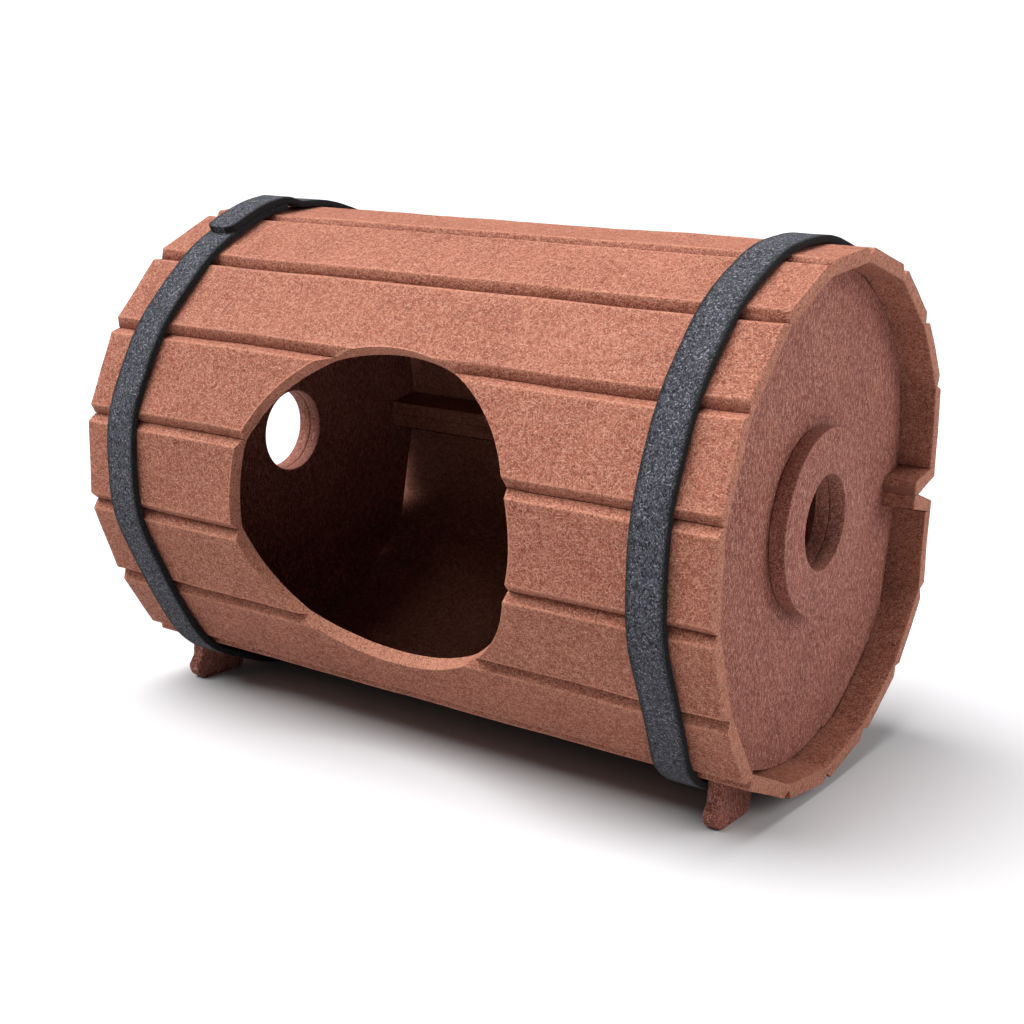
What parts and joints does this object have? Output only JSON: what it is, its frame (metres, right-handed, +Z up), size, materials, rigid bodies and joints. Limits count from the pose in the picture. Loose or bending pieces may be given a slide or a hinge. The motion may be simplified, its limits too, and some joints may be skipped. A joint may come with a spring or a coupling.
{
  "type": "barrel-shaped felt pet house",
  "caption": "Barrel-shaped felt house for a small pet, lying on its side, with a round entrance in front, a recessed disc in each end and two felt straps.",
  "frame": {"origin": "on the surface it stands on, under the middle of its bounding box", "axes": "+X along the barrel to its right end, -Y out of the entrance, +Z up"},
  "size_m": [0.5, 0.359, 0.3654],
  "materials": {
    "rust_felt": "thick needled felt, rust brown with light fibres, matt",
    "end_felt": "thick needled felt, mauve brown, matt",
    "grey_felt": "needled felt strap, charcoal grey with light specks, matt"
  },
  "bodies": {
    "root": {"barrel_wall": "rust_felt", "end_disc_left": "end_felt", "end_disc_right": "end_felt", "end_ring_left": "end_felt", "end_ring_right": "end_felt", "strap_left": "grey_felt", "strap_right": "grey_felt"}
  },
  "joints": []
}
